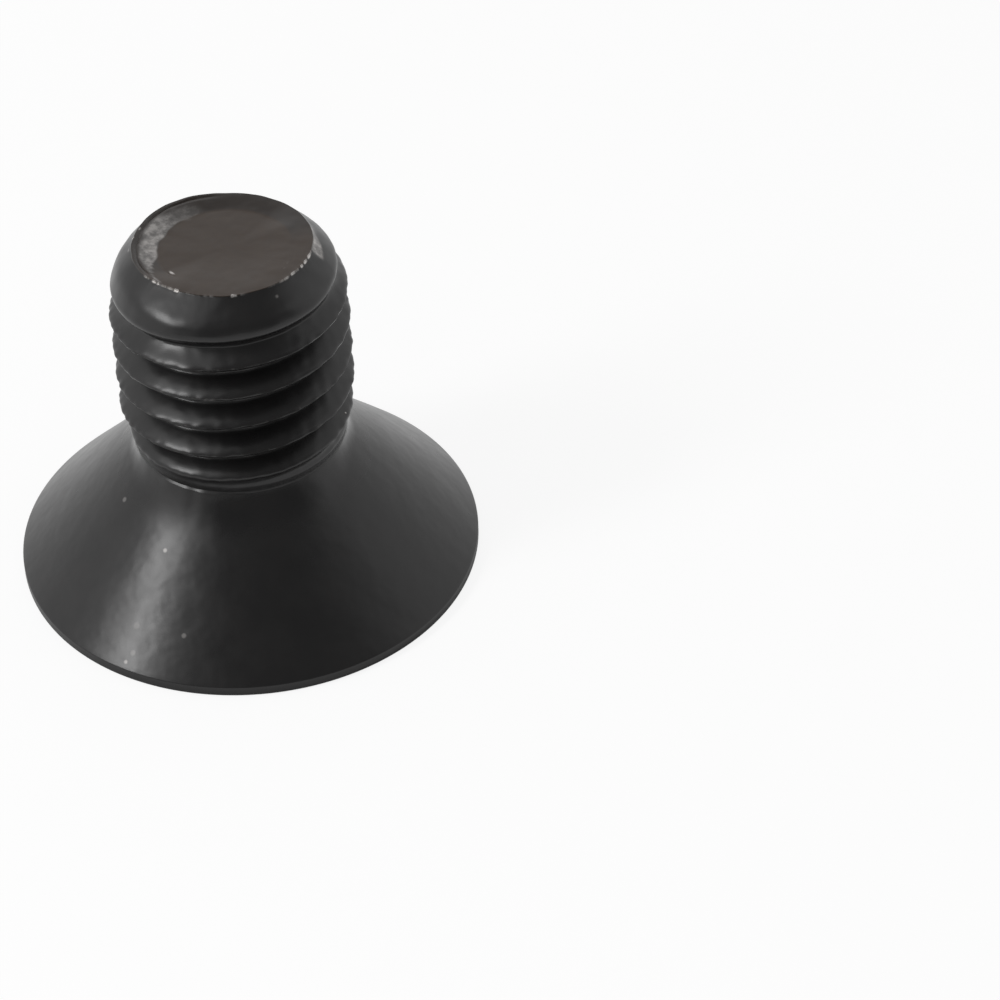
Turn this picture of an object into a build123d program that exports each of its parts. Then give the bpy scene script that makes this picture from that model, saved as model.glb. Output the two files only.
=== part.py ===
"""Countersunk hexagon socket screw, M10 x 1.5, 16 mm long, cold-forged in one piece of steel.

The screw stands on the flat face of its head.  The origin is the centre of that face, +Z runs up
the shank to the tip, and the hexagon socket opens downwards.  All sizes are in millimetres.

The head and neck are one turned outline.  The shank carries a true right-hand rolled thread with
the ISO metric profile: 60 degree flanks, a rounded root and a flat crest.  Its surface is laid as
helical strips.  Each strip runs between two lines that climb one pitch a turn, one at each corner
of the profile.  Near the neck the lines draw together on the pitch diameter, which is the size of
the blank, so the thread runs out there as a rolled one does.  Near the tip they draw together on
the rounded end.
"""
from build123d import *
from math import ceil, cos, pi, radians, sin, sqrt, tan
import os

# ---- head ----
head_dia = 20.0          # across the rim
rim_height = 0.5         # short cylinder round the edge of the head
cone_angle = 90.0        # full angle of the countersink cone
rim_edge = 0.15          # rounding where the face turns into the rim
rim_top_edge = 0.1       # rounding where the rim turns into the cone

# ---- hexagon socket ----
socket_flats = 6.0       # across flats, for a 6 mm key
socket_depth = 4.4       # depth of the full hexagon
socket_point_angle = 130.0   # full angle of the punched cone at the bottom
socket_lead_in = 0.2     # bevel round the mouth

# ---- shank ----
length = 16.0            # overall, from the head face to the tip
neck_length = 0.7        # plain neck between the cone and the first trace of thread
neck_fillet = 0.8        # hollow between the cone and the neck
neck_ledge = 0.04        # width of the ledge where the rolled length starts on the neck
tip_dia = 7.3            # where the rounded tip meets the end face
tip_length = 2.8         # height of the rounded tip
end_lip = 0.3            # width of the rim left round the hollow end face
end_hollow = 0.15        # depth of the hollow in the end face

# ---- thread ----
thread_dia = 10.0        # over the crests
pitch = 1.5
flank_angle = 60.0       # between the two flanks
runout_length = 1.5      # height over which the thread dies out above the neck
thread_start = 1.2       # height above the neck at which a groove's lower edge passes +X
points_per_turn = 24     # points that guide each helical line
root_strips = 3          # strips that make the rounded root

# ---- ISO metric profile, worked out from the pitch ----
half_flank = radians(flank_angle / 2)
full_triangle = pitch / (2 * tan(half_flank))    # height of the profile with sharp corners
crest_flat = pitch / 8
root_radius = full_triangle / 6
groove_half_width = (pitch - crest_flat) / 2     # at the crests
flank_depth = (groove_half_width - root_radius * cos(half_flank)) / tan(half_flank)
thread_depth = flank_depth + root_radius * (1 - sin(half_flank))
pitch_dia = thread_dia - full_triangle * 3 / 4

# ---- radii and heights that follow ----
head_radius = head_dia / 2
neck_radius = pitch_dia / 2
crest_radius = thread_dia / 2
cone_top = rim_height + (head_radius - neck_radius) / tan(radians(cone_angle / 2))
neck_top = cone_top + neck_length
shank_foot = cone_top + neck_length / 2      # the shank starts here, inside the neck
rolled_radius = neck_radius - neck_ledge     # of the shank where the thread has died out
tip_start = length - tip_length
tip_drop = (thread_dia - tip_dia) / 2
tip_curve = (tip_drop**2 + tip_length**2) / (2 * tip_drop)   # radius of the tip, tangent to the crests


def corner(sketch, x, y):
    """The vertex of a flat sketch that lies nearest to (x, y)."""
    return sketch.vertices().sort_by_distance((x, y, 0))[0]


def head():
    """Head and neck, turned about Z: face, rim, countersink cone, hollow fillet and neck."""
    outline = Polyline(
        (0, 0),
        (head_radius, 0),
        (head_radius, rim_height),
        (neck_radius, cone_top),
        (neck_radius, neck_top),
        (0, neck_top),
        close=True,
    )
    half = make_face(outline)
    half = fillet(corner(half, head_radius, 0), rim_edge)
    half = fillet(corner(half, head_radius, rim_height), rim_top_edge)
    half = fillet(corner(half, neck_radius, cone_top), neck_fillet)
    return revolve(Plane.XZ * half, Axis.Z)


def groove_profile():
    """Corners of the thread over one pitch, each as (height, depth below the crest)."""
    root_turn = pi / 2 - half_flank
    corners = [(0, 0)]
    for step in range(root_strips + 1):
        turn = root_turn * (2 * step / root_strips - 1)
        height = groove_half_width + root_radius * sin(turn)
        corners.append((height, thread_depth - root_radius * (1 - cos(turn))))
    return corners + [(pitch - crest_flat, 0), (pitch, 0)]


def smooth_step(t):
    """0 up to t = 0, 1 from t = 1, and a smooth rise between them."""
    t = min(max(t, 0), 1)
    return t * t * (3 - 2 * t)


def surface_radius(z, depth):
    """Radius of the shank at height z, on a thread line that lies depth below the full crest."""
    rise = smooth_step((z - neck_top) / runout_length)
    above = min(max(z - tip_start, 0), tip_length)
    drop = tip_curve - sqrt(tip_curve**2 - above**2)
    left_at_tip = 1 - smooth_step((z - tip_start) / tip_length)
    return rolled_radius + (crest_radius - rolled_radius) * rise - drop - depth * rise * left_at_tip


def thread_line(start, depth):
    """One turn of a helical line from height start on the +X side, right-handed."""
    points = []
    for step in range(points_per_turn + 1):
        turn = step / points_per_turn
        z = start + turn * pitch
        points.append(Vector(surface_radius(z, depth), 0, z).rotate(Axis.Z, 360 * turn))
    return Edge.make_spline(points)


def thread_end(start, profile):
    """Closes the strips across one turn: a ramp to the axis and a flat wall on the +X side."""
    foot, top = (0, 0, start), (0, 0, start + pitch)
    ramp = Face.make_surface_from_curves(thread_line(start, 0), Edge.make_line(foot, top))
    wall = [(surface_radius(start + z, depth), 0, start + z) for z, depth in profile]
    return [ramp, Face(Wire.make_polygon(wall + [top, foot]))]


def shank():
    """The threaded shank, laid as strips past both of its ends and then cut square to length."""
    profile = groove_profile()
    first = neck_top + thread_start
    lowest = first - pitch * ceil((first - shank_foot) / pitch + 1)
    turns = ceil((length - lowest) / pitch)
    faces = []
    for turn in range(turns):
        start = lowest + turn * pitch
        lines = [thread_line(start + z, depth) for z, depth in profile]
        faces += [Face.make_surface_from_curves(*pair) for pair in zip(lines, lines[1:])]
    faces += thread_end(lowest, profile) + thread_end(lowest + turns * pitch, profile)
    kept = Pos(0, 0, shank_foot) * Cylinder(
        head_radius, length - shank_foot, align=(Align.CENTER, Align.CENTER, Align.MIN)
    )
    return kept & Solid(Shell(faces))


def end_face_hollow():
    """The shallow dish that rolling the thread leaves in the end face, as part of a ball."""
    half_width = tip_dia / 2 - end_lip
    ball = (half_width**2 + end_hollow**2) / (2 * end_hollow)
    return Pos(0, 0, length + ball - end_hollow) * Sphere(ball)


def socket():
    """The hexagon hole with its bevelled mouth and its punched, conical bottom."""
    flats_radius = socket_flats / 2
    hexagon = RegularPolygon(flats_radius, 6, major_radius=False)
    mouth = RegularPolygon(flats_radius + socket_lead_in, 6, major_radius=False)
    point_height = flats_radius / tan(radians(socket_point_angle / 2))
    bottom = Pos(0, 0, socket_depth) * Cone(
        flats_radius, 0, point_height, align=(Align.CENTER, Align.CENTER, Align.MIN)
    )
    return extrude(hexagon, socket_depth) + extrude(mouth, socket_lead_in, taper=45) + bottom


os.makedirs("parts", exist_ok=True)
screw = head() + shank() - end_face_hollow() - socket()
export_step(screw, "parts/countersunk_screw.step")
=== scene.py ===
"""Black countersunk hexagon socket screw, standing on its flat head under soft studio light.

The screw is one closed surface.  It is walked in one direction, from the bottom of the socket,
out over the head face, up the countersink cone and the threaded shank, and over the rounded tip
to the middle of the end face.  Sizes are in millimetres and become metres when a mesh, lamp or
camera is made.  Azimuth 0 is +X and grows anticlockwise, seen from the tip.
"""

from math import atan2, cos, degrees, pi, radians, sin, sqrt, tan

import bpy
import numpy as np
from mathutils import Euler, Matrix, Vector


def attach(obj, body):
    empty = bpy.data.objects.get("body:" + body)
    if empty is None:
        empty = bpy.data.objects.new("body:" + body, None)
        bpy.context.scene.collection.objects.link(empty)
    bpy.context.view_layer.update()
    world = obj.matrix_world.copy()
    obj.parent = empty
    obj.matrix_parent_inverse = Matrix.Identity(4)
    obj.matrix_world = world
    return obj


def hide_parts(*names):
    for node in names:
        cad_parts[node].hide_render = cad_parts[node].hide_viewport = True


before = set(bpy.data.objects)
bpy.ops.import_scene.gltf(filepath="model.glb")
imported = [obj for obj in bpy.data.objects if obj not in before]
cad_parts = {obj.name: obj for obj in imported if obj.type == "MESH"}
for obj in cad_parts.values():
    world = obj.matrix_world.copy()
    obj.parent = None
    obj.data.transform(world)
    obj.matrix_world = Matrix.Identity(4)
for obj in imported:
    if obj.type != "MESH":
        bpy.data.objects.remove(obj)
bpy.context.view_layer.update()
MM = 0.001

# ---- head ----
HEAD_RADIUS = 10.0
RIM_HEIGHT = 0.5
RIM_EDGE = 0.15              # rounding where the face turns into the rim
RIM_TOP_EDGE = 0.1           # rounding where the rim turns into the cone
FACE_END = HEAD_RADIUS - RIM_EDGE - 0.1   # radius at which the face's rings end, short of the rim
CONE_END = 5.9               # radius at which the cone's even rings end, short of the hollow
HOLLOW_RADII = (1.25, 4.2)   # of the hollow between cone and neck, at the back and at the front
HOLLOW_TOP = 6.45            # height at which the hollow ends in a small ledge
LEDGE = 0.09                 # greatest width of that bevelled ledge below the rolled length
LEDGE_SHARES = (0.12, 1.0)   # shares of that width, at the back and at the left of the front
LEDGE_EDGE = 0.03            # greatest rounding of the ledge's edge
LEDGE_BEVEL = radians(47)    # how far the ledge's edge turns inward
NECK_LENGTH = 0.7

# ---- socket ----
SOCKET_FLATS = 6.0
SOCKET_DEPTH = 4.4
SOCKET_POINT_ANGLE = 130     # full angle of the punched cone at the bottom, in degrees
SOCKET_POINT_HEIGHT = SOCKET_FLATS / 2 / tan(radians(SOCKET_POINT_ANGLE / 2))
SOCKET_LEAD_IN = 0.2         # bevel round the mouth

# ---- shank and thread ----
LENGTH = 16.0
PITCH = 1.5
CREST_RADIUS = 5.0
CREST_FLAT = PITCH / 8
FULL_TRIANGLE = PITCH * sqrt(3) / 2
ROOT_RADIUS = FULL_TRIANGLE / 6
FLANK_SLOPE = sqrt(3)        # depth gained per millimetre along the axis
CREST_ROUNDING = 0.065       # softness of the corners between crest and flanks
SEAM_DEPTH = 0.012           # of the seam that rolling leaves along the crest on some turns
SEAM_WIDTH = 0.04
DENT_WIDTH = 0.18            # of the dented band along the crest
NECK_RADIUS = CREST_RADIUS - FULL_TRIANGLE * 3 / 8
CONE_TOP = RIM_HEIGHT + HEAD_RADIUS - NECK_RADIUS
NECK_TOP = CONE_TOP + NECK_LENGTH
THREAD_START = 1.2           # height above the neck at which a groove's lower edge passes +X
CREST_PASSES = NECK_TOP + THREAD_START - CREST_FLAT / 2   # height at which a crest passes +X
STRIP_FOOT = HOLLOW_TOP + 0.11  # where the head's rings end and the helical strip starts
STRIP_TOP = LENGTH - 0.6     # where the helical strip ends and the finer rings of the tip start
RUNOUT_LENGTH = 1.8          # height over which the thread rises to its full radius
RUNOUT_SWELL = 0.15          # how much faster than evenly it starts to rise
BITE_START = 0.25            # height above the strip's foot at which its groove starts to bite
BITE_LENGTH = 1.05           # height over which the groove then reaches full depth
UNEVEN_LENGTH = 0.8          # height over which the rolled unevenness grows from the strip's foot

# ---- tip ----
TIP_LENGTH = 2.8
TIP_START = LENGTH - TIP_LENGTH
TIP_BEND = 0.92              # how far the tip has bent in by its end, before its chamfer is cut
FADE_STARTS = (0.25, 0.0)    # heights in the tip where the groove starts to fade, right and left
FADE_LENGTHS = (1.75, 1.62)  # heights over which it then fades, right and left
CHAMFER_TOP = LENGTH - 0.05  # height at which the chamfer reaches the edge circle
CHAMFER_SLOPES = (1.0, 1.5)  # radius lost for each millimetre of height, at the back and the front
CHAMFER_BLEND = 0.10         # softness of the corner between the bend and the chamfer
EDGE_RADIUS = 3.57           # of the end face, before it leans and is chipped
EDGE_LEAN = 0.166            # how far the end face lies off the axis
EDGE_LEAN_AZIMUTH = 57
ROLLED_OUT = 0.32            # how far rolled metal stands out of that circle at the far left

# ---- where round the axis: middle, half-width and fade of each window, in degrees ----
HOLLOW_WIDEST = (-95, 35, 45)
LEDGE_WIDEST = (-118, 12, 22)
GROOVE_FADES_EARLY = (180, 30, 50)
CHAMFER_STEEP = (-110, 45, 40)
METAL_ROLLED_OUT = (158, 25, 60)
LIP_RAISED = (125, 78, 30)
LIP_ROLLED = (105, 85, 25)
CREASED = (150, 42, 22)
CRESCENT_INSET = (150, 40, 35)
FLAT_WORN = (5, 15, 6)
# painted reflection: window where the flat beside the end face is lightened, partly burnished
# steel, partly a painted reflection of light from the right
FLAT_BURNISH_AND_REFLECTION = (5, 16.5, 3)
HOLLOW_DULL = (-124, 10, 14)

# ---- unevenness: height, wavelength and seed of each ripple ----
ROLLED_SWELL = (0.010, 1.0, 31)
ROLLED_RIPPLE = (0.009, 0.55, 32)
CREST_DENTS = (0.020, 0.48, 33)
LEDGE_TEARS = (0.25, 0.7, 35)
FORGED_SWELL = (0.010, 3.2, 5)
FORGED_RIPPLE = (0.005, 1.1, 6)
SHEARED_SWELL = (0.006, 1.6, 11)
SHEARED_RIPPLE = (0.003, 0.5, 12)
CHIP_TEARS = (0.45, 0.30, 41)
FINE_CHIP_TEARS = (0.25, 0.13, 42)
RIPPLE_WAVES = 14

COLUMNS = 240                # round the axis; a multiple of six, for the corners of the socket
AZIMUTH = np.arange(COLUMNS) * 2 * pi / COLUMNS
TIP_COLUMNS = 2 * COLUMNS    # round the tip, whose broken edge is finer
TIP_AZIMUTH = np.arange(TIP_COLUMNS) * 2 * pi / TIP_COLUMNS


# ======================================================================================
# Shapes
# ======================================================================================

def smooth_step(t):
    """0 up to t = 0, 1 from t = 1, and 3 t^2 - 2 t^3 between them."""
    t = np.clip(t, 0, 1)
    return t * t * (3 - 2 * t)


def bell(away, width):
    """1 in the middle, falling as e to the minus square of the distance over the width."""
    return np.exp(-(away / width) ** 2)


def mix(first, second, share):
    """The value that lies a share of the way from the first to the second."""
    return first + (second - first) * share


def ripple(points, height, wavelength, seed):
    """Smooth unevenness of about -height to height: the scaled mean of plane sine waves that run
    in random directions with random phases, all near the given wavelength."""
    draw = np.random.default_rng(seed)
    direction = draw.normal(size=(RIPPLE_WAVES, 3))
    direction /= np.linalg.norm(direction, axis=1, keepdims=True)
    number = 2 * pi / (wavelength * draw.uniform(0.7, 1.4, RIPPLE_WAVES))
    phase = draw.uniform(0, 2 * pi, RIPPLE_WAVES)
    waves = np.sin(points @ (direction * number[:, None]).T + phase)
    return height * waves.mean(axis=-1) * sqrt(2 * RIPPLE_WAVES) / 2


def polar(radius, azimuth, height):
    """Points at the given radius, azimuth and height, as one array with x, y, z last."""
    radius, azimuth, height = np.broadcast_arrays(radius, azimuth, height)
    return np.stack([radius * np.cos(azimuth), radius * np.sin(azimuth), height], axis=-1)


def azimuth_gap(azimuth, centre):
    """Degrees between an azimuth in radians and a centre in degrees, the short way round."""
    return np.degrees(np.abs((azimuth - radians(centre) + pi) % (2 * pi) - pi))


def window(azimuth, centre, half_width, fade):
    """1 within half_width degrees of the centre, then falling smoothly to 0 over fade degrees."""
    return 1 - smooth_step((azimuth_gap(azimuth, centre) - half_width) / fade)


def crest_distance(height, azimuth):
    """Distance along the axis to the middle of the nearest crest.  The crests climb one pitch a
    turn, so the height is first counted from the crest's own height at that azimuth."""
    climbed = height - CREST_PASSES - PITCH * azimuth / (2 * pi)
    return np.abs((climbed + PITCH / 2) % PITCH - PITCH / 2)


def groove_depth(from_crest, turn):
    """Depth of the thread below its crest, by the distance from the middle of the crest.  From
    half a flat away the flank falls at 60 degrees to the axis, its corner rounded by a log-exp
    blend.  The root is an arc, tangent to both flanks.  On some turns the two lips of metal that
    the dies pushed up meet in a shallow seam, a bell across, along the middle of the crest."""
    softly = CREST_ROUNDING * np.logaddexp(0, (from_crest - CREST_FLAT / 2) / CREST_ROUNDING)
    softly -= CREST_ROUNDING * np.log1p(np.exp(-CREST_FLAT / 2 / CREST_ROUNDING))
    flank = FLANK_SLOPE * softly
    from_root = np.clip(PITCH / 2 - from_crest, 0, ROOT_RADIUS * 0.999)
    full_depth = FULL_TRIANGLE * 17 / 24
    root = full_depth - ROOT_RADIUS + np.sqrt(ROOT_RADIUS**2 - from_root**2)
    near_root = PITCH / 2 - from_crest < ROOT_RADIUS * sqrt(3) / 2
    on_some_turns = np.clip(np.sin(turn * 9.1) * np.sin(turn * 23.7 + 1), 0, 1)
    seam = SEAM_DEPTH * on_some_turns * bell(from_crest, SEAM_WIDTH)
    return np.where(near_root, np.minimum(root, flank), flank) + seam


def thread_left(height, azimuth):
    """How much of the groove the rounded tip leaves: it fades out over the last full turn, sooner
    at the left, where the dies let go of the blank."""
    early = window(azimuth, *GROOVE_FADES_EARLY)
    above = height - TIP_START - mix(*FADE_STARTS, early)
    return 1 - smooth_step(above / mix(*FADE_LENGTHS, early))


def edge_circle(azimuth):
    """Radius of the end face before chips: a circle that leans to one side, with rolled metal
    standing out at its far left."""
    lean = EDGE_LEAN * np.cos(azimuth - radians(EDGE_LEAN_AZIMUTH))
    return EDGE_RADIUS + lean + ROLLED_OUT * window(azimuth, *METAL_ROLLED_OUT)


def blank_radius(height, azimuth):
    """Radius of the tip without thread: a parabola that bends in from the crests, and a chamfer
    down from the end face, steeper at the front.  The lesser of the two is taken, with a log-exp
    blend at their corner."""
    share = np.clip((height - TIP_START) / TIP_LENGTH, 0, 1)
    bent = CREST_RADIUS - TIP_BEND * share**2
    slope = mix(*CHAMFER_SLOPES, window(azimuth, *CHAMFER_STEEP))
    chamfer = edge_circle(azimuth) + (CHAMFER_TOP - height) * slope
    return bent - CHAMFER_BLEND * np.logaddexp(0, (bent - chamfer) / CHAMFER_BLEND)


def shank_radius(height, azimuth):
    """Radius of the shank.  The blank rises from the neck to the crests as the thread runs in, and
    bends in at the tip.  The groove is taken off it, scaled by how far it has bitten in and by how
    much of it the rounded tip leaves.  Rolling leaves the flanks slightly uneven and dents the
    crests."""
    above = height - STRIP_FOOT
    share = np.clip(above / RUNOUT_LENGTH, 0, 1)
    rise = share * (1 + RUNOUT_SWELL - RUNOUT_SWELL * share**2)
    left = thread_left(height, azimuth)
    bitten = smooth_step((above - BITE_START) / BITE_LENGTH) * left
    from_crest = crest_distance(height, azimuth)
    groove = groove_depth(from_crest, height / PITCH - azimuth / (2 * pi)) * bitten
    radius = mix(NECK_RADIUS, blank_radius(height, azimuth), rise) - groove
    surface = polar(radius, azimuth, height)
    dents = ripple(surface, *CREST_DENTS) * bell(from_crest, DENT_WIDTH)
    uneven = ripple(surface, *ROLLED_SWELL) + (ripple(surface, *ROLLED_RIPPLE) + dents) * left
    return radius + uneven * smooth_step(above / UNEVEN_LENGTH)


def rounded_outline(corners, radii, step):
    """Points along straight runs whose inner corners are arcs tangent to both runs.  Each arc's
    points lie at equal angles and each run is divided into pieces of about one step."""
    corners = np.array(corners, float)
    points = [corners[0]]

    def run_to(target):
        start = points[-1]
        pieces = max(1, round(np.linalg.norm(target - start) / step))
        points.extend(start + (target - start) * k / pieces for k in range(1, pieces + 1))

    for before, corner, after, radius in zip(corners, corners[1:], corners[2:], radii):
        inward, outward = before - corner, after - corner
        inward /= np.linalg.norm(inward)
        outward /= np.linalg.norm(outward)
        half = np.arccos(np.clip(inward @ outward, -1, 1)) / 2
        start = corner + inward * radius / tan(half)
        run_to(start)
        halfway = (inward + outward) / np.linalg.norm(inward + outward)
        middle = corner + halfway * radius / sin(half)
        first = atan2(*(start - middle)[::-1])
        end = corner + outward * radius / tan(half)
        sweep = (atan2(*(end - middle)[::-1]) - first + pi) % (2 * pi) - pi
        pieces = max(3, round(abs(degrees(sweep)) / 9))
        turned = [first + sweep * k / pieces for k in range(1, pieces + 1)]
        points.extend(middle + radius * np.array([cos(a), sin(a)]) for a in turned)
    run_to(corners[-1])
    return np.array(points)


def hexagon_radius(flats, azimuth):
    """Distance from the axis to a hexagon with a corner on +X: half the flats over the cosine of
    the angle to the nearest flat's middle."""
    return flats / 2 / np.cos(azimuth % (pi / 3) - pi / 6)


def socket_rings():
    """Rings from the middle of the punched cone, down the hexagon's walls to its bevelled mouth.
    Each ring of the walls is listed as what it adds to the flats, and its height."""
    azimuth = AZIMUTH[None, :]
    cone = np.linspace(0, 1, 9)[:, None]
    rings = [polar(SOCKET_FLATS / 2 * cone + 0 * azimuth, azimuth,
                   SOCKET_DEPTH + SOCKET_POINT_HEIGHT * (1 - cone))]
    walls = [(0, SOCKET_DEPTH), (0, SOCKET_DEPTH - 0.08), (0, 3.4), (0, 2.4), (0, 1.4),
             (0, SOCKET_LEAD_IN + 0.1), (0, SOCKET_LEAD_IN), (SOCKET_LEAD_IN * 2, 0)]
    for wider, height in walls:
        rings.append(polar(hexagon_radius(SOCKET_FLATS + wider, azimuth), azimuth, height))
    return np.concatenate(rings)


def head_face_rings():
    """The flat face: rings that turn from the socket's hexagon into a circle near the rim."""
    azimuth = AZIMUTH[None, :]
    across = np.array([0.004, 0.1, 0.25, 0.42, 0.6, 0.78, 0.9])[:, None]
    mouth = hexagon_radius(SOCKET_FLATS + 2 * SOCKET_LEAD_IN, azimuth)
    return polar(mix(mouth, FACE_END, across), azimuth, 0)


def hollow_rings():
    """The hollow between the cone and the neck: for each azimuth an arc of its own radius, wider
    at the front, that starts tangent to the cone and ends at one height all round.  There the
    rounded edge of a ledge turns it inward; the ledge is widest at the left of the front.  Returns
    the rings of the arc, and those of the edge and the ledge's bevel."""
    azimuth = AZIMUTH[None, :]
    torn = ripple(polar(NECK_RADIUS, azimuth, HOLLOW_TOP), *LEDGE_TEARS)
    wide = mix(*LEDGE_SHARES, window(azimuth, *LEDGE_WIDEST)) * (0.85 + torn)
    edge = NECK_RADIUS + LEDGE * wide
    bend = mix(*HOLLOW_RADII, window(azimuth, *HOLLOW_WIDEST))
    rest = HOLLOW_TOP + edge - HEAD_RADIUS - RIM_HEIGHT
    end = np.arcsin(1 - rest / bend / sqrt(2)) - pi / 4
    turned = mix(pi / 4, end, np.linspace(0, 1, 11)[:, None])
    arc = polar(edge + bend * (np.cos(end) - np.cos(turned)), azimuth,
                HOLLOW_TOP - bend * (np.sin(turned) - np.sin(end)))
    turned = mix(end, LEDGE_BEVEL, np.array([0.33, 0.67, 1])[:, None])
    rounding = polar(edge - LEDGE_EDGE * wide * (np.cos(end) - np.cos(turned)), azimuth,
                     HOLLOW_TOP + LEDGE_EDGE * wide * (np.sin(turned) - np.sin(end)))
    bevel_foot = np.hypot(rounding[-1, :, 0], rounding[-1, :, 1])
    inward = (bevel_foot - NECK_RADIUS) * np.array([0.5, 1])[:, None]
    bevel = polar(bevel_foot - inward, azimuth, rounding[-1, :, 2] + inward / tan(LEDGE_BEVEL))
    return arc, np.concatenate([rounding, bevel])


def head_rings():
    """Rim, countersink cone and the hollow up to the neck's ledge, with the slight unevenness of a
    forged surface."""
    outline = rounded_outline(
        [(FACE_END, 0), (HEAD_RADIUS, 0), (HEAD_RADIUS, RIM_HEIGHT),
         (CONE_END, HEAD_RADIUS + RIM_HEIGHT - CONE_END)],
        radii=[RIM_EDGE, RIM_TOP_EDGE], step=0.2)
    turned = polar(outline[:, 0, None], AZIMUTH[None, :], outline[:, 1, None])
    arc, ledge = hollow_rings()
    between = mix(turned[-1], arc[0], np.array([0.25, 0.5, 0.75])[:, None, None])
    rings = np.concatenate([turned, between, arc, ledge])
    radius, height = np.hypot(rings[..., 0], rings[..., 1]), rings[..., 2]
    forged = ripple(rings, *FORGED_SWELL) + ripple(rings, *FORGED_RIPPLE)
    on_cone = smooth_step((height - RIM_HEIGHT) / 0.3) * smooth_step((HOLLOW_TOP - height) / 0.4)
    return polar(radius + forged * on_cone, AZIMUTH[None, :], height)


# ---- end face ----
FACE_TOP = LENGTH - 0.015    # height of the end face's lip
LIP_INNER = 2.70             # radius at which the raised lip of the end face starts
LIP_RISE = 0.17              # height of the lip's edge above the flat floor of the end face
CREASE_DEPTH = 0.07          # of the crease between the lip and the rolled metal outside it
CREASE_INSET = 0.19          # how far inside the edge it lies
CREASE_WIDTH = 0.034
CHAMFER_END = LENGTH - 0.06  # height of the chamfer's last ring, before it eases onto the edge
EDGE_ROUNDING = (0.02, 0.045)    # how far outside and below the end face's edge that ring ends
WORN_DEPTH = 0.04            # of the flat worn into the right of the chamfer
WORN_BAND = (0.22, 0.17)     # how far outside the edge its middle lies, and its width
MARK_WIDTH = 0.05            # of the small marks listed below, across the edge
MARK_RISE = 0.03             # height of the raised ones, and depth of the dents beside them
DENT_OFFSET = 0.1            # how far outside the raised marks their dents lie
CHIP_CIRCLE = 3.6            # radius of the circle round which the tears of the chips are drawn
CHIP_INSET = 0.02            # how far a chip of strength 1 sets the edge in
CHIP_BITE = 0.03             # how far it also bites into the end of the chamfer
BURR = 0.022                 # height of the burr on that chip
CRESCENT_MIDDLE = 165      # middle of the crescent on the lip that is lightened to steel grey: partly burnished metal, partly a painted reflection of light from the right
EDGE_WAVES = [               # the sheared edge's waves: height, number in a turn, phase
    (0.012, 3, 1), (0.008, 11, 0), (0.006, 23, 2),
]
CHIPS = [                    # broken bits of the end face's edge: azimuth, half-width, strength; their bare steel colour is partly a painted highlight of the lamp on the edge
    (-153, 4.0, 0.50), (-144, 4.0, 0.75), (-138, 3.5, 0.65), (-132, 4.0, 0.45), (-127, 2.2, 1.30),
    (-115, 7.0, 0.22), (-104, 5.0, 0.20), (-86.5, 2.4, 0.80), (-79, 5.0, 0.22), (-58, 6.0, 0.24),
    (-51, 4.0, 0.32), (-46.5, 3.5, 0.75), (-41, 3.0, 0.60), (-36.5, 2.2, 0.55), (-31, 1.8, 0.80),
    (-26, 3.0, 0.60), (-19, 4.0, 0.75), (-15.5, 2.0, 0.55),
]
NICKS = [                    # raised marks on the end face: azimuth, radius, length, strength
    (-148, 2.60, 0.17, 0.85), (-39, 3.02, 0.10, 0.16), (-32, 2.96, 0.13, 0.20),
]
GLINTS = [                   # painted glints: bare steel spots on the rolled metal outside the crease, likewise
    (153, 3.80, 0.11, 0.60), (162.5, 3.86, 0.09, 0.80), (173, 3.93, 0.15, 0.36),
    (-60.4, 3.89, 0.09, 0.42),
]


def chip_strength(azimuth):
    """How broken the end face's edge is at an azimuth: the strongest of the chips that reach it,
    torn by fine unevenness along the edge."""
    spread = [strength * window(azimuth, centre, width * 0.5, width * 0.6)
              for centre, width, strength in CHIPS]
    along = polar(CHIP_CIRCLE, azimuth, 0)
    torn = 0.75 + ripple(along, *CHIP_TEARS) + ripple(along, *FINE_CHIP_TEARS)
    return np.max(spread, axis=0) * np.clip(torn, 0, 1.3)


def edge_radius(azimuth):
    """Radius of the end face's edge: the edge circle, a little out of round as sheared, with bites
    where it is chipped."""
    waves = sum(height * np.sin(number * azimuth + phase) for height, number, phase in EDGE_WAVES)
    return edge_circle(azimuth) + waves - CHIP_INSET * chip_strength(azimuth)


def crescent(radius, azimuth):
    """The lightened part of the lip, partly burnished steel and partly a painted reflection of
    light from the right: 1 on a crescent about its middle azimuth.  Its inner edge moves out to
    meet the outer one at the lower end, and its outer edge moves in at the upper end, where the
    crescent also fades."""
    turned = degrees(1) * ((azimuth - radians(CRESCENT_MIDDLE) + pi) % (2 * pi) - pi)
    torn = 0.04 * np.sin(11 * azimuth + 1) + 0.02 * np.sin(23 * azimuth)
    lower_end, upper_end = smooth_step((turned - 10) / 44), smooth_step((-turned - 30) / 30)
    inner = LIP_INNER + 0.05 + 0.72 * lower_end + torn
    outer = edge_radius(azimuth) - 0.08 - 0.27 * window(azimuth, *CRESCENT_INSET)
    outer = outer - 0.25 * upper_end - torn
    beyond_inner = smooth_step((radius - inner + 0.05) / 0.10)
    within_outer = smooth_step((outer - radius + 0.05) / 0.10)
    tail = 1 - 0.65 * smooth_step((-turned - 22) / 22) - 0.35 * smooth_step((-turned - 48) / 14)
    return beyond_inner * within_outer * tail * (np.abs(turned) < 75)


def small_marks(radius, azimuth, listed):
    """Small marks: each a bell of its own length along the edge, and of one width across it."""
    total = 0 * radius * azimuth
    for centre, middle, length, strength in listed:
        along = radians(1) * azimuth_gap(azimuth, centre) * middle
        total = total + strength * bell(along, length) * bell(radius - middle, MARK_WIDTH)
    return total


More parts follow.
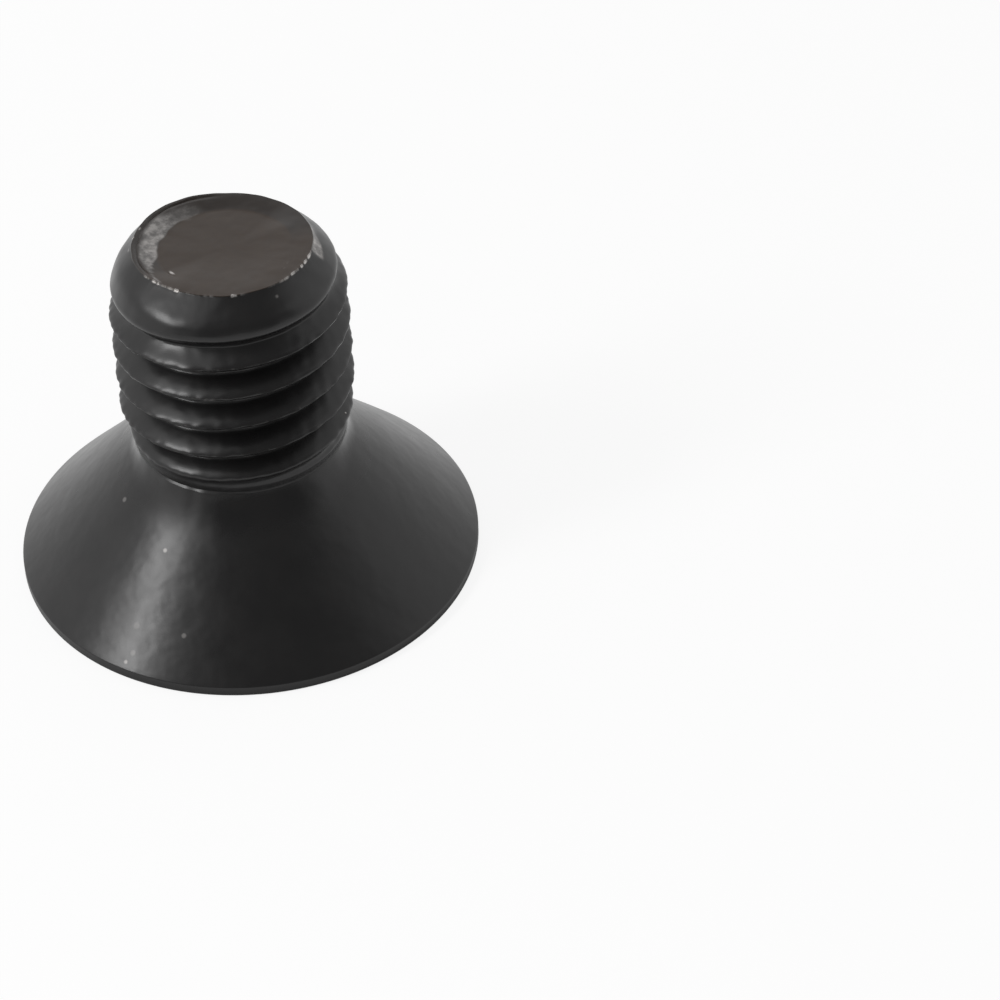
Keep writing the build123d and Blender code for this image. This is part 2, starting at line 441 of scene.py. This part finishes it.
def end_face_height(radius, azimuth):
    """Height of the end face.  At the far side and the left the floor is flat and the lip rises
    from it in a rounded ramp; at the front it is one shallow dish.  At the far left a crease, a
    bell across, parts the lip from the rolled metal outside it."""
    edge = edge_radius(azimuth)
    ramp = np.clip((radius - LIP_INNER) / (edge - LIP_INNER), 0, 1)
    lip = LIP_RISE * mix(ramp, smooth_step(ramp), 0.35)
    dish = LIP_RISE * smooth_step(radius / edge) ** 1.5
    creased = CREASE_DEPTH * window(azimuth, *CREASED)
    crease = creased * bell(radius - edge + CREASE_INSET, CREASE_WIDTH)
    return FACE_TOP - LIP_RISE + mix(dish, lip, window(azimuth, *LIP_RAISED)) - crease


def tip_rings(first_height):
    """The chamfer above the helical strip, up to the edge of the end face, with a flat worn into
    its right side.  The last rings ease onto the edge's own radius and height."""
    azimuth = TIP_AZIMUTH[None, :]
    share = np.concatenate([np.linspace(0, 0.8, 11)[1:], [0.86, 0.91, 0.95, 0.98, 1]])[:, None]
    height = mix(first_height, CHAMFER_END, share)
    edge = edge_radius(azimuth)
    outside, below = EDGE_ROUNDING
    widened = edge + outside - shank_radius(CHAMFER_END, azimuth)
    raised = end_face_height(edge, azimuth) - below - CHAMFER_END
    radius = shank_radius(height, azimuth) + widened * share**4
    height = height + raised * share**4
    worn_middle, worn_width = WORN_BAND
    worn = WORN_DEPTH * window(azimuth, *FLAT_WORN) * bell(radius - edge - worn_middle, worn_width)
    chipped = CHIP_BITE * chip_strength(azimuth) * smooth_step((share - 0.9) / 0.1)
    return polar(radius - worn - chipped, azimuth, height)


def end_face_rings():
    """The sheared end face, from its chipped edge to the ring before its middle: close rings over
    the burr, the crease and the lip, and wider ones over the floor."""
    azimuth = TIP_AZIMUTH[None, :]
    share = np.concatenate([
        [0, 0.008, 0.018, 0.030, 0.043, 0.056, 0.070, 0.10, 0.14, 0.175],
        np.linspace(0.20, 0.315, 11), [0.36, 0.42, 0.5, 0.6, 0.7, 0.8, 0.9, 0.97]])[:, None]
    radius = edge_radius(azimuth) * (1 - share)
    dents = small_marks(radius - DENT_OFFSET, azimuth, NICKS)
    marks = small_marks(radius, azimuth, NICKS) - dents
    height = end_face_height(radius, azimuth) + MARK_RISE * marks
    rings = polar(radius, azimuth, height)
    height = height + ripple(rings, *SHEARED_SWELL) + ripple(rings, *SHEARED_RIPPLE)
    return polar(radius, azimuth, height + BURR * chip_strength(azimuth) * bell(share, 0.02))


# Rows of the helical strip over one pitch, as heights from the middle of the crest: close
# together on the crest's lips, wider on the flanks, closer again in the root.
CREST_ROWS = np.array([0.02, 0.042, 0.064, 0.088, 0.115, 0.145, 0.185, 0.24, 0.31, 0.39,
                       0.47, 0.55, 0.60, 0.65, 0.70])
PITCH_ROWS = np.sort(np.concatenate([-CREST_ROWS, [0], CREST_ROWS, [PITCH / 2]]))


def helical_strip(lowest, highest):
    """The threaded shank as one strip wound round the axis.  Every row follows one line of the
    thread: its height grows by one pitch a turn, so the last column of a row meets the first
    column of the row one pitch higher.  Heights are held between the lowest and highest level.
    Returns the points, row by row, and which rows are held at either level in each column."""
    azimuth = AZIMUTH[None, :]
    first_turn = int(np.floor((lowest - CREST_PASSES) / PITCH)) - 2
    last_turn = int(np.ceil((highest - CREST_PASSES) / PITCH)) + 1
    turns = np.arange(first_turn, last_turn + 1)
    start = (CREST_PASSES + turns[:, None] * PITCH + PITCH_ROWS[None, :]).ravel()
    height = start[:, None] + PITCH * azimuth / (2 * pi)
    held_low, held_high = height <= lowest, height >= highest
    height = np.clip(height, lowest, highest)
    return polar(shank_radius(height, azimuth), azimuth, height), held_low, held_high


def ring_quads(first, count, columns=COLUMNS):
    """Quads between neighbouring rings of vertices, numbered ring by ring from first."""
    row = first + columns * np.arange(count - 1)[:, None]
    column = np.arange(columns)[None, :]
    following = (column + 1) % columns
    return np.stack([row + column, row + following,
                     row + columns + following, row + columns + column], axis=-1).reshape(-1, 4)


def bridge_tris(lower, upper):
    """Triangles from a ring of COLUMNS points up to a ring with twice as many, three a column."""
    column = np.arange(COLUMNS)
    here, following = lower + column, lower + (column + 1) % COLUMNS
    left, middle = upper + 2 * column, upper + 2 * column + 1
    right = upper + (2 * column + 2) % TIP_COLUMNS
    return np.concatenate([np.stack([here, following, middle], axis=-1),
                           np.stack([here, middle, left], axis=-1),
                           np.stack([following, right, middle], axis=-1)])


def without_repeats(quads):
    """Splits quads with repeated corners off: one repeat leaves a triangle, two leave nothing."""
    repeated = quads == np.roll(quads, -1, axis=1)
    count = repeated.sum(axis=1)
    thin = quads[count == 1][~repeated[count == 1]].reshape(-1, 3)
    return quads[count == 0], thin


def screw_surface():
    """All points of the screw, its quads and its triangles, closed with no doubled points.
    The rings below the thread come first, then the strip, then the rings above it."""
    below = np.concatenate([socket_rings()[1:], head_face_rings(), head_rings()])
    strip, held_low, held_high = helical_strip(STRIP_FOOT, STRIP_TOP)
    above = np.concatenate([tip_rings(STRIP_TOP), end_face_rings()])
    low_ring = polar(shank_radius(STRIP_FOOT, AZIMUTH), AZIMUTH, STRIP_FOOT)
    high_ring = polar(shank_radius(STRIP_TOP, AZIMUTH), AZIMUTH, STRIP_TOP)
    bottom, top = [[0, 0, SOCKET_DEPTH + SOCKET_POINT_HEIGHT]], [above[-1].mean(axis=0)]

    blocks = [np.array(bottom), below.reshape(-1, 3), low_ring, strip.reshape(-1, 3),
              high_ring, above.reshape(-1, 3), np.array(top)]
    starts = np.cumsum([0] + [len(block) for block in blocks[:-1]])
    _, below_start, low_start, strip_start, high_start, above_start, top_start = starts

    rows = len(strip)
    column = np.arange(COLUMNS)[None, :]
    number = strip_start + np.arange(rows * COLUMNS).reshape(rows, COLUMNS)
    number = np.where(held_low, low_start + column, number)
    number = np.where(held_high, high_start + column, number)
    a_turn_up = len(PITCH_ROWS)
    wrapped = np.concatenate([number[:-a_turn_up], number[a_turn_up:, :1]], axis=1)
    lower, upper = wrapped[:-1], wrapped[1:]
    strip_quads = np.stack([lower[:, :-1], lower[:, 1:], upper[:, 1:], upper[:, :-1]], axis=-1)
    strip_quads, strip_tris = without_repeats(strip_quads.reshape(-1, 4))

    column, tip_column = np.arange(COLUMNS), np.arange(TIP_COLUMNS)
    low_fan = np.stack([0 * column, below_start + (column + 1) % COLUMNS,
                        below_start + column], axis=-1)
    last_ring = top_start - TIP_COLUMNS
    top_fan = np.stack([np.full(TIP_COLUMNS, top_start), last_ring + tip_column,
                        last_ring + (tip_column + 1) % TIP_COLUMNS], axis=-1)
    quads = np.concatenate([ring_quads(below_start, len(below) + 1), strip_quads,
                            ring_quads(above_start, len(above), TIP_COLUMNS)])
    tris = np.concatenate([low_fan, strip_tris, bridge_tris(high_start, above_start), top_fan])
    return np.concatenate(blocks), quads, tris


def make_mesh(name, points, quads, tris, marks):
    """A mesh object at the origin from points in millimetres, with named numbers on its points.
    Points that no face uses are left out."""
    used = np.unique(np.concatenate([quads.ravel(), tris.ravel()]))
    renumber = np.zeros(len(points), int)
    renumber[used] = np.arange(len(used))
    corners = np.concatenate([renumber[quads].ravel(), renumber[tris].ravel()])
    sizes = np.concatenate([np.full(len(quads), 4), np.full(len(tris), 3)])
    mesh = bpy.data.meshes.new(name)
    mesh.vertices.add(len(used))
    mesh.vertices.foreach_set("co", (points[used] * MM).astype(np.float32).ravel())
    mesh.loops.add(len(corners))
    mesh.loops.foreach_set("vertex_index", corners.astype(np.int32))
    mesh.polygons.add(len(sizes))
    mesh.polygons.foreach_set("loop_start", (np.cumsum(sizes) - sizes).astype(np.int32))
    mesh.polygons.foreach_set("loop_total", sizes.astype(np.int32))
    for mark, values in marks.items():
        layer = mesh.attributes.new(mark, "FLOAT", "POINT")
        layer.data.foreach_set("value", values[used].astype(np.float32))
    mesh.update(calc_edges=True)
    mesh.validate()
    mesh.shade_smooth()
    mesh.set_sharp_from_angle(angle=radians(38))
    made = bpy.data.objects.new(name, mesh)
    bpy.context.scene.collection.objects.link(made)
    return made


# ---- where the finishes lie ----
MARKED_FROM = LENGTH - 0.8   # height above which the tip's marks lie
EDGE_MARGIN = 0.012          # how far outside its edge the end face's finish still reaches
BARE_WIDTH = 0.042           # of the bare band on the chips, which runs along that line
FLAT_WIDEST = -15            # azimuth at which the burnished flat is widest
FLAT_WIDTH = 0.50            # its width there
CREST_WEAR_AND_HIGHLIGHT = 0.03            # depth within which the crests carry rubbed flecks, partly painted highlight specks
SMOOTH_RISE = (4.7, 1.2)     # height at which the hollow grows smoother, and over what height
DULL_RISE = (3.9, 1.6)       # likewise for its dull front left
DULLNESS = 0.9               # how far below 0 the mark falls there


def finish_marks(points):
    """Where each finish lies, as numbers on the points.

    end_face is the sheared face, less where its lip is rolled.  The lightened mark is the crescent
    on the lip and the flat beside it, which narrows away from its widest azimuth: partly burnished
    steel, partly a painted reflection of light from the right.  The bare steel mark is a bell
    across
    the broken edge, and the small marks: partly chipped steel, partly painted highlights and
    glints.
    crest is a bell of the radius about the thread's crests, whose rubbed flecks are partly painted
    highlight specks.
    hollow is 1 in the smooth hollow above the cone, and below 0 at its dull front left."""
    radius = np.hypot(points[:, 0], points[:, 1])
    azimuth = np.arctan2(points[:, 1], points[:, 0])
    height = points[:, 2]
    beyond = radius - edge_radius(azimuth)
    at_tip = height > MARKED_FROM
    at_end = at_tip & (beyond < EDGE_MARGIN)

    rolled_lip = window(azimuth, *LIP_ROLLED) * smooth_step((radius - LIP_INNER) / 0.18)
    narrowed = smooth_step((38 - azimuth_gap(azimuth, FLAT_WIDEST)) / 40)
    # the flat is lightened to steel grey, partly burnished and partly a painted reflection of
    # light from the right
    flat = (window(azimuth, *FLAT_BURNISH_AND_REFLECTION) * at_tip * smooth_step((beyond + 0.02) / 0.05)
            * smooth_step((0.02 + FLAT_WIDTH * narrowed - beyond) / 0.12))
    # bare steel along the broken edge, partly chipped steel and partly a painted highlight of the
    # lamp on the edge, with the nicks and the painted glints
    chip_and_glint = (bell(beyond - EDGE_MARGIN, BARE_WIDTH) * chip_strength(azimuth)
            + small_marks(radius, azimuth, NICKS + GLINTS)) * at_tip
    on_thread = (height > NECK_TOP) * (height < TIP_START + 0.3)
    smooth_part, dull_part = (smooth_step((height - start) / over)
                              for start, over in (SMOOTH_RISE, DULL_RISE))
    hollow = mix(smooth_part, -DULLNESS * dull_part, window(azimuth, *HOLLOW_DULL))
    return {"end_face": at_end * (1 - 0.6 * rolled_lip),
            "burnish_and_reflection": crescent(radius, azimuth) * at_end + 1.3 * flat,
            "chip_and_glint": chip_and_glint,
            "crest": bell(radius - CREST_RADIUS, CREST_WEAR_AND_HIGHLIGHT) * on_thread,
            "hollow": hollow * smooth_step((HOLLOW_TOP - height) / 0.08)}


# ======================================================================================
# Finishes
# ======================================================================================

class Signal:
    """A shader socket in an expression.  Each operator adds the Math node that works it out."""

    def __init__(self, tree, socket):
        self.tree, self.socket = tree, socket

    def math(self, operation, other):
        return self.tree.node("ShaderNodeMath", {0: self, 1: other}, operation=operation)

    def __add__(self, other):
        return self.math("ADD", other)

    def __mul__(self, other):
        return self.math("MULTIPLY", other)

    __radd__, __rmul__ = __add__, __mul__

    def __rsub__(self, other):
        return self.tree.node("ShaderNodeMath", {0: other, 1: self}, operation="SUBTRACT")

    def larger(self, other):
        return self.math("MAXIMUM", other)

    def between(self, low, high):
        """0 below low, 1 above high and a smooth rise between them, or a fall if low > high."""
        inputs = {"Value": self, "From Min": low, "From Max": high}
        return self.tree.node("ShaderNodeMapRange", inputs, interpolation_type="SMOOTHSTEP")


class Tree:
    """The node tree of a material or world, emptied and ready for expressions."""

    def __init__(self, owner):
        owner.use_nodes = True
        self.nodes, self.links = owner.node_tree.nodes, owner.node_tree.links
        self.nodes.clear()

    def node(self, kind, inputs=None, output=0, **settings):
        """Adds a node, makes its settings, then fills its sockets, and returns one output."""
        made = self.nodes.new(kind)
        for name, value in settings.items():
            setattr(made, name, value)
        for key, value in (inputs or {}).items():
            if isinstance(value, Signal):
                self.links.new(value.socket, made.inputs[key])
            else:
                made.inputs[key].default_value = value
        return Signal(self, made.outputs[output]) if made.outputs else None

    def place(self):
        """The point in the object's own coordinates."""
        return self.node("ShaderNodeTexCoord", output="Object")

    def mark(self, name):
        """A number that the mesh carries on its points."""
        return self.node("ShaderNodeAttribute", output="Fac", attribute_name=name)

    def noise(self, size, detail, rough):
        """Noise of 0 to 1 whose blotches are about the given size in millimetres."""
        inputs = {"Vector": self.place(), "Scale": 1 / (size * MM), "Detail": detail,
                  "Roughness": rough}
        return self.node("ShaderNodeTexNoise", inputs)

    def specks(self, spacing, radius, share):
        """Round specks: 1 inside a radius from the seed of a cell, in the given share of cells."""
        inputs = {"Vector": self.place(), "Scale": 1 / (spacing * MM)}
        away = self.node("ShaderNodeTexVoronoi", inputs, output="Distance")
        colour = self.node("ShaderNodeTexVoronoi", inputs, output="Color")
        pick = self.node("ShaderNodeSeparateColor", {"Color": colour}, output="Red")
        inside = away.between(radius / spacing, radius / spacing * 0.5)
        return inside * pick.between(1 - share, 1 - share + 0.001)

    def spot(self, middle, radius):
        """1 near a point of the screw and 0 beyond a radius from it, in millimetres."""
        inputs = {0: self.place(), 1: tuple(middle * MM)}
        away = self.node("ShaderNodeVectorMath", inputs, output="Value", operation="DISTANCE")
        return away.between(radius * MM, radius * MM * 0.4)

    def blend(self, factor, first, second):
        """A colour between two colours; each is a Signal or an (r, g, b)."""
        colours = [c if isinstance(c, Signal) else (*c, 1) for c in (first, second)]
        return self.node("ShaderNodeMix", {0: factor, 6: colours[0], 7: colours[1]}, output=2,
                         data_type="RGBA")


SKIN = [(0.0060, 0.0058, 0.0063), (0.0120, 0.0112, 0.0110)]    # black oxide, darkest and lightest
BROWN = [(0.0255, 0.0152, 0.0090), (0.040, 0.0247, 0.0150)]    # the sheared face, likewise
BARE_STEEL = (0.47, 0.45, 0.435)
RUBBED_GLINT_SPOTS = [             # painted glints on the cone, as rubbed bare steel spots: azimuth, radius, height, size, strength
    (-157, 5.67, 4.83, 0.15, 0.28), (-125.9, 6.26, 4.24, 0.13, 0.30),
    (-112, 8.57, 1.93, 0.14, 0.26), (-126.6, 8.65, 1.85, 0.20, 0.12),
    (-125, 9.45, 1.05, 0.17, 0.14), (-126.1, 9.77, 0.73, 0.12, 0.28),
]


def black_oxide():
    """Forged steel with an oiled black oxide skin: nearly black, satin, faintly mottled and lumpy,
    with a few bright specks, some of them painted glints on the cone.  The sheared end face is
    brown and duller, its lip is lightened to grey in places, partly burnished and partly a painted
    reflection, and the chips on its edge are bare steel, partly a painted highlight of the lamp."""
    material = bpy.data.materials.new("black_oxide")
    tree = Tree(material)
    end_face, burnish_and_reflection = tree.mark("end_face"), tree.mark("burnish_and_reflection")
    mottle = tree.noise(1.8, 2, 0.6)
    lumps = tree.noise(0.7, 1, 0.5)
    blotch = tree.noise(0.45, 3, 0.6)
    fleck = tree.noise(0.16, 2, 0.6)

    # bare steel on the chips, partly a painted highlight, and on the painted glints
    chip_and_glint = (tree.mark("chip_and_glint") * (0.45 + fleck * 1.1)).between(0.06, 0.68)
    specks = tree.specks(1.5, 0.055, 0.05) * 0.7
    # painted glints: bare steel spots set in the cone's highlight
    for azimuth, radius, height, size, strength in RUBBED_GLINT_SPOTS:
        specks = specks.larger(strength * tree.spot(polar(radius, radians(azimuth), height), size))
    # rubbed bare flecks on the crests, partly painted highlight specks
    crest = tree.mark("crest") * tree.noise(0.5, 3, 0.7).between(0.55, 0.72)
    patches = 0.36 * blotch.between(0.38, 0.66) + 0.10 * fleck.between(0.45, 0.60)
    # painted light among the bare steel: the lip's crescent and flat are partly a painted
    # reflection, the chips partly a painted highlight, the spots painted glints, and the crest
    # flecks partly painted highlight specks
    bare = chip_and_glint.larger(specks).larger(crest * 0.14).larger(burnish_and_reflection * (0.25 + patches))

    brown = tree.blend(blotch, *BROWN)
    colour = tree.blend(end_face * (1 - burnish_and_reflection), tree.blend(mottle, *SKIN), brown)
    colour = tree.blend(bare, colour, BARE_STEEL)
    roughness = 0.22 + mottle * 0.12 + blotch * 0.05 + end_face * 0.10
    roughness = roughness * (1 - 0.4 * tree.mark("hollow"))
    relief = {"Height": 0.6 * lumps + mottle * 0.08, "Distance": 0.030 * MM, "Strength": 0.8}
    shader = tree.node("ShaderNodeBsdfPrincipled", {
        "Base Color": colour, "Metallic": bare, "Roughness": roughness, "IOR": 1.45,
        "Normal": tree.node("ShaderNodeBump", relief)})
    tree.node("ShaderNodeOutputMaterial", {"Surface": shader})
    return material


def seen_directly(tree):
    """1 for rays from the camera, mirror-like reflections and glass, which see the white set."""
    rays = [tree.node("ShaderNodeLightPath", output=f"Is {kind} Ray")
            for kind in ("Camera", "Glossy", "Transmission")]
    return rays[0].larger(rays[1]).larger(rays[2])


def white_paper():
    """The floor: matt white paper that looks white but still takes a faint shadow.  Reflections
    show it as lit, and so darker, right beside the screw."""
    material = bpy.data.materials.new("white_paper")
    tree = Tree(material)
    paper = tree.blend(tree.noise(4.0, 4, 0.6), (0.78, 0.78, 0.78), (0.82, 0.82, 0.82))
    matt = tree.node("ShaderNodeBsdfDiffuse", {"Color": paper})
    glow = tree.node("ShaderNodeEmission", {"Strength": 1.08})
    away = tree.node("ShaderNodeVectorMath", {0: tree.place()}, output="Value",
                     operation="LENGTH")
    apart = away.between((HEAD_RADIUS - 0.1) * MM, (HEAD_RADIUS + 0.9) * MM)
    is_camera = tree.node("ShaderNodeLightPath", output="Is Camera Ray")
    shown = seen_directly(tree) * is_camera.larger(apart) * 0.8
    both = tree.node("ShaderNodeMixShader", {0: shown, 1: matt, 2: glow})
    tree.node("ShaderNodeOutputMaterial", {"Surface": both})
    return material


# ======================================================================================
# The screw
# ======================================================================================

points, quads, tris = screw_surface()
screw = make_mesh("screw", points, quads, tris, finish_marks(points))
screw.data.materials.append(black_oxide())
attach(screw, "root")
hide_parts("countersunk_screw")

# ======================================================================================
# Set, lamp and camera
# ======================================================================================

FLOOR_REACH = 1.5            # metres from the middle of the floor to its sides

floor_mesh = bpy.data.meshes.new("floor")
floor_mesh.from_pydata([(x * FLOOR_REACH, y * FLOOR_REACH, 0)
                        for x, y in ((-1, -1), (1, -1), (1, 1), (-1, 1))], [], [(0, 1, 2, 3)])
floor = bpy.data.objects.new("floor", floor_mesh)
bpy.context.scene.collection.objects.link(floor)
floor.data.materials.append(white_paper())


def toward(azimuth, elevation):
    """Unit vector at an azimuth and elevation in degrees."""
    a, e = radians(azimuth), radians(elevation)
    return Vector((cos(e) * cos(a), cos(e) * sin(a), sin(e)))


def softbox(name, foot, head, distance, width, brightness):
    """A rectangular soft lamp, in millimetres, that faces the screw.  Its middle line runs from
    one direction to another, each an (azimuth, elevation).  brightness is how bright the panel
    itself looks, where 1 is white, so its power is pi times brightness times area."""
    foot, head = toward(*foot), toward(*head)
    outward, along = (foot + head).normalized(), (head - foot).normalized()
    lamp = bpy.data.lights.new(name, "AREA")
    lamp.shape = "RECTANGLE"
    lamp.size, lamp.size_y = width * MM, (head - foot).length * distance * MM
    lamp.energy = pi * brightness * lamp.size * lamp.size_y
    made = bpy.data.objects.new(name, lamp)
    made.location = outward * distance * MM + Vector((0, 0, LENGTH / 2 * MM))
    made.rotation_euler = Matrix([along.cross(outward), along, outward]).transposed().to_euler()
    bpy.context.scene.collection.objects.link(made)


softbox("window_left", foot=(-156, 26), head=(-171, 49), distance=260, width=52, brightness=13.9)

world = bpy.data.worlds.new("studio")
bpy.context.scene.world = world
sky = Tree(world)
ray = sky.node("ShaderNodeTexCoord", output="Generated")


def facing(azimuth, elevation):
    """Cosine of the angle between a ray and a direction."""
    inputs = {0: ray, 1: tuple(toward(azimuth, elevation))}
    return sky.node("ShaderNodeVectorMath", inputs, output="Value", operation="DOT_PRODUCT")


# The set as reflections see it: white, but dim straight above and towards the front, a little
# dimmer low at the left, and brighter in a patch high at the left.
below_top = facing(90, 90).between(0.90, 0.70)
off_front = facing(-78, 20).between(0.86, 0.40)
low_left = facing(-128, 0).between(0.86, 0.97)
high_left = facing(-179, 61).between(0.90, 0.985)
set_white = 0.25 + 0.75 * below_top * off_front * (1 - 0.55 * low_left) + 1.2 * high_left
soft_light = 0.35 + 0.2 * off_front
is_camera = sky.node("ShaderNodeLightPath", output="Is Camera Ray")
seen = seen_directly(sky)
strength = is_camera.larger(seen * set_white + (1 - seen) * soft_light)
surround = sky.node("ShaderNodeBackground", {"Color": (1, 1, 1, 1), "Strength": strength})
sky.node("ShaderNodeOutputWorld", {"Surface": surround})

camera_data = bpy.data.cameras.new("camera")
camera_data.lens = 118.8
camera_data.clip_start = 1 * MM
camera = bpy.data.objects.new("camera", camera_data)
camera.location = Vector((0, -110.361, 95.511)) * MM
camera.rotation_euler = Euler([radians(a) for a in (49.5215, 1.3386, -6.8546)])
bpy.context.scene.collection.objects.link(camera)
bpy.context.scene.camera = camera
bpy.context.scene.view_settings.view_transform = "Standard"
